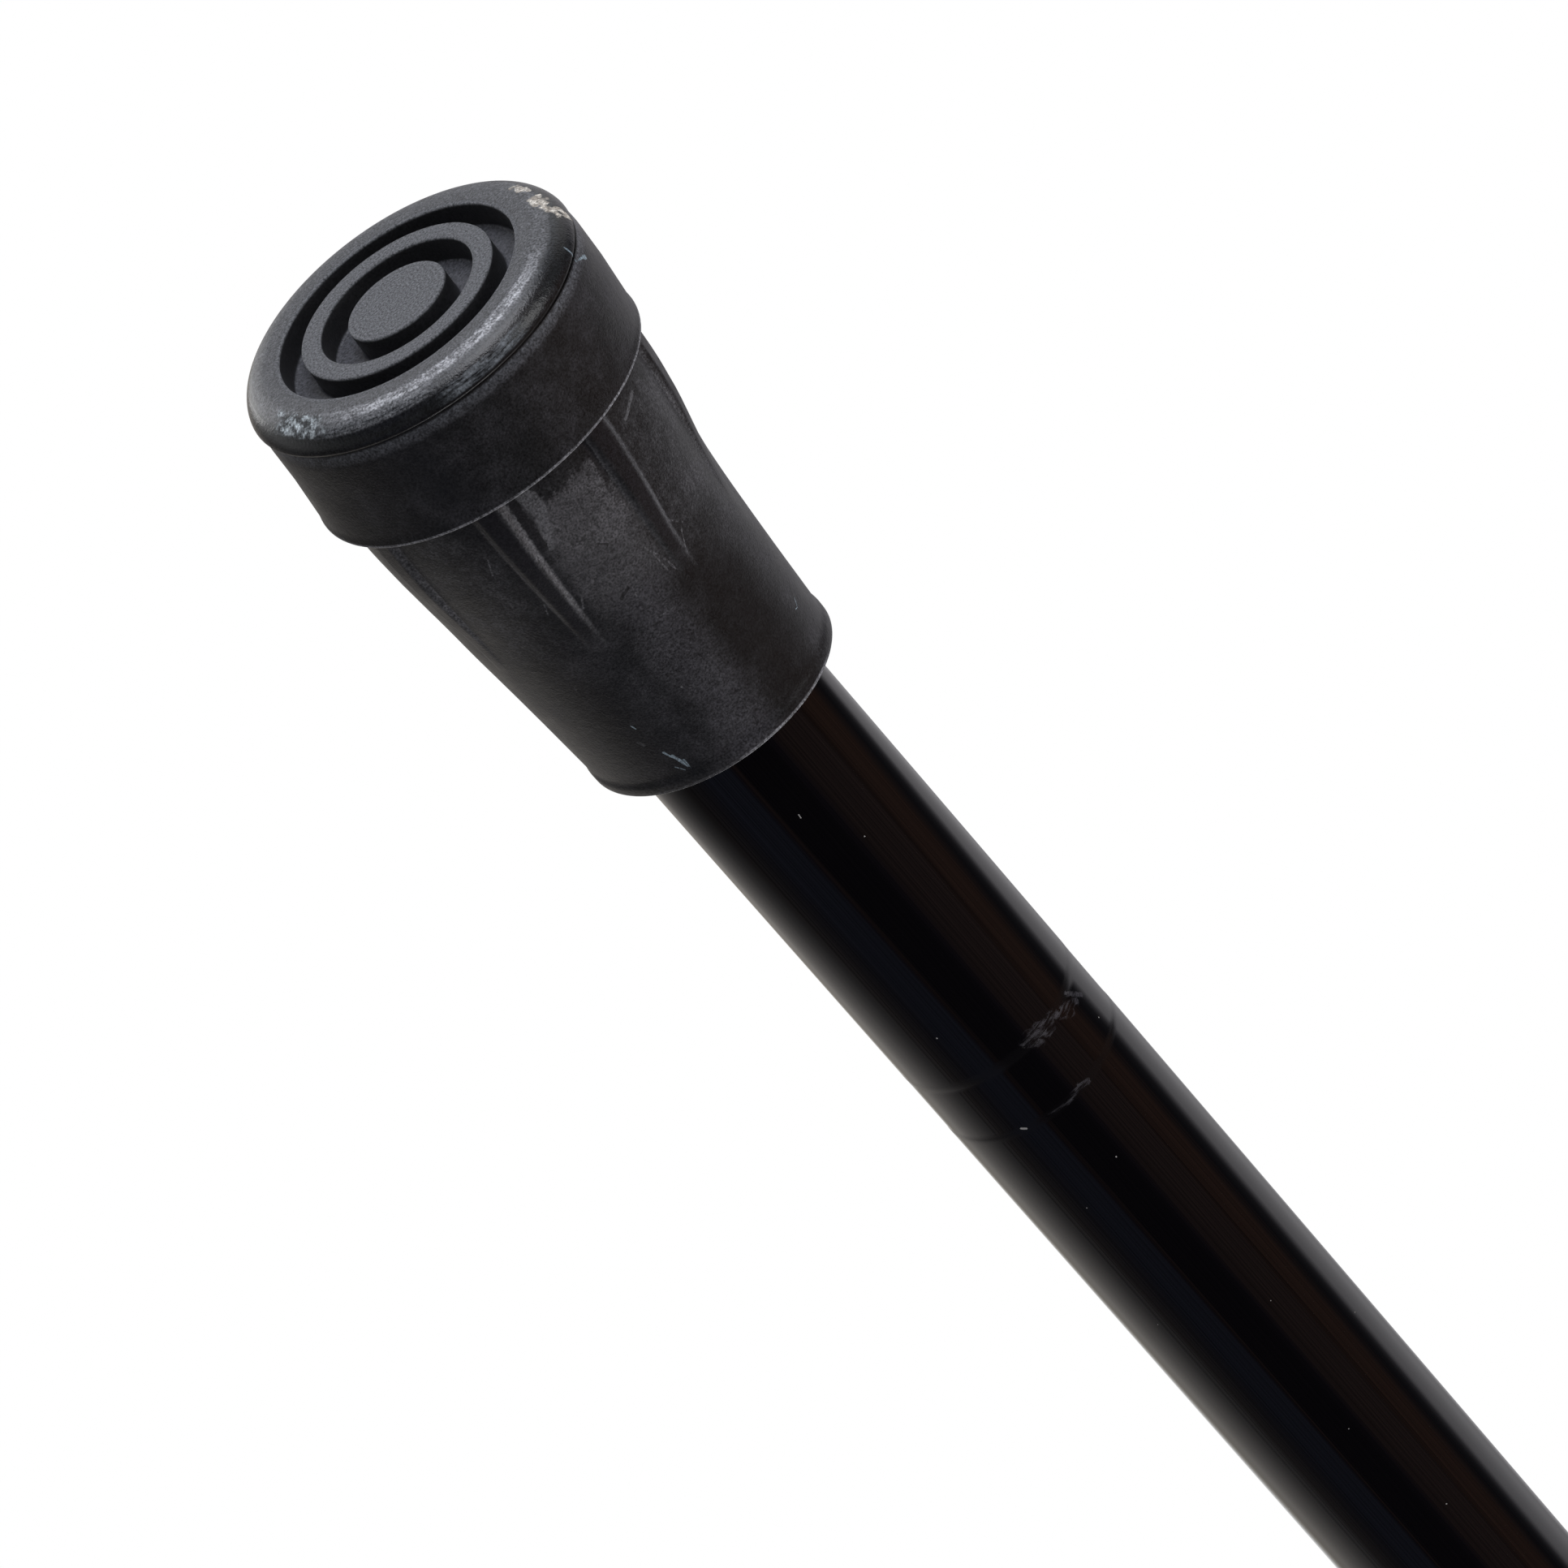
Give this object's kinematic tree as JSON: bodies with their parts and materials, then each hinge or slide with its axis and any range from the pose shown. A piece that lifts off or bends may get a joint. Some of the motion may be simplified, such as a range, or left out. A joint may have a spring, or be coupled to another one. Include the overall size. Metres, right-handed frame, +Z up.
{
  "type": "folding walking stick",
  "caption": "Tubular walking stick whose sections draw apart on an elastic cord and fold side by side, with a height-adjusting button and clamp, a palm handle and a rubber foot.",
  "frame": {"origin": "middle of the rubber foot's tread, on the stick's axis", "axes": "+Z up the stick to the handle, +X towards the handle's nose, -Y towards the side with the height holes and the button"},
  "size_m": [0.1158, 0.0332, 0.9808],
  "materials": {
    "ferrule_rubber": "matte",
    "enamelled_tube": "gloss",
    "bare_aluminium": "satin",
    "plated_steel": "satin",
    "acetal": "satin",
    "moulded_grip": "satin",
    "elastic_cord": "matte"
  },
  "bodies": {
    "handle_body": {"handle": "moulded_grip", "handle_collar": "acetal", "handle_pin": "plated_steel", "handle_tube": "enamelled_tube", "clamp_sleeve": "acetal"},
    "clamp_ring_body": {"clamp_ring": "acetal"},
    "adjuster_body": {"adjusting_tube": "enamelled_tube", "adjusting_tube_cap": "acetal", "button_spring": "plated_steel", "cord_top_plug": "acetal", "cord_top_knot": "elastic_cord", "elastic_cord_top": "elastic_cord"},
    "button_body": {"snap_button": "plated_steel"},
    "upper_link": {"elastic_cord_at_upper_joint": "elastic_cord"},
    "upper_middle_body": {"upper_middle_tube": "enamelled_tube", "upper_spigot": "bare_aluminium", "upper_joint_ring": "acetal", "upper_guide_bush": "acetal", "elastic_cord_upper": "elastic_cord"},
    "middle_link": {"elastic_cord_at_middle_joint": "elastic_cord"},
    "lower_middle_body": {"lower_middle_tube": "enamelled_tube", "middle_spigot": "bare_aluminium", "middle_joint_ring": "acetal", "middle_guide_bush": "acetal", "elastic_cord_middle": "elastic_cord"},
    "lower_link": {"elastic_cord_at_lower_joint": "elastic_cord"},
    "lower_body": {"lower_tube": "enamelled_tube", "lower_spigot": "bare_aluminium", "lower_joint_ring": "acetal", "lower_guide_bush": "acetal", "elastic_cord_lower": "elastic_cord", "cord_anchor_plug": "acetal", "cord_anchor_knot": "elastic_cord", "ferrule": "ferrule_rubber", "ferrule_washer": "plated_steel"}
  },
  "joints": [
    {"name": "clamp_turn", "type": "hinge", "parent": "handle_body", "child": "clamp_ring_body", "pos_m": [0, 0, 0.7743], "axis": [0, 0, 1], "range_deg": [0, 150]},
    {"name": "height_slide", "type": "slide", "parent": "handle_body", "child": "adjuster_body", "axis": [0, 0, 1], "range_m": [-0.0508, 0.0508]},
    {"name": "button_press", "type": "slide", "parent": "adjuster_body", "child": "button_body", "axis": [0, -1, 0], "range_m": [0, 0.0037], "stiffness_N_per_m": 800, "springref_m": 0.0045, "deforming": ["button_spring"]},
    {"name": "upper_draw", "type": "slide", "parent": "adjuster_body", "child": "upper_link", "axis": [0, 0, -1], "range_m": [-0.0341, 0], "deforming": ["elastic_cord_top"]},
    {"name": "upper_fold", "type": "hinge", "parent": "upper_link", "child": "upper_middle_body", "pos_m": [0, 0.0135, 0.69385], "axis": [1, 0, 0], "range_deg": [0, 180], "stiffness_Nm_per_rad": 0.03, "springref_deg": -114.59, "deforming": ["elastic_cord_at_upper_joint"]},
    {"name": "middle_draw", "type": "slide", "parent": "upper_middle_body", "child": "middle_link", "axis": [0, 0, -1], "range_m": [-0.0341, 0], "deforming": ["elastic_cord_upper"]},
    {"name": "middle_fold", "type": "hinge", "parent": "middle_link", "child": "lower_middle_body", "pos_m": [0.015, 0, 0.46715], "axis": [0, -1, 0], "range_deg": [0, 180], "stiffness_Nm_per_rad": 0.03, "springref_deg": -114.59, "deforming": ["elastic_cord_at_middle_joint"]},
    {"name": "lower_draw", "type": "slide", "parent": "lower_middle_body", "child": "lower_link", "axis": [0, 0, -1], "range_m": [-0.0341, 0], "deforming": ["elastic_cord_middle"]},
    {"name": "lower_fold", "type": "hinge", "parent": "lower_link", "child": "lower_body", "pos_m": [0.0075, -0.01299, 0.24045], "axis": [-0.866, -0.5, 0], "range_deg": [0, 180], "stiffness_Nm_per_rad": 0.03, "springref_deg": -114.59, "deforming": ["elastic_cord_at_lower_joint"]}
  ]
}
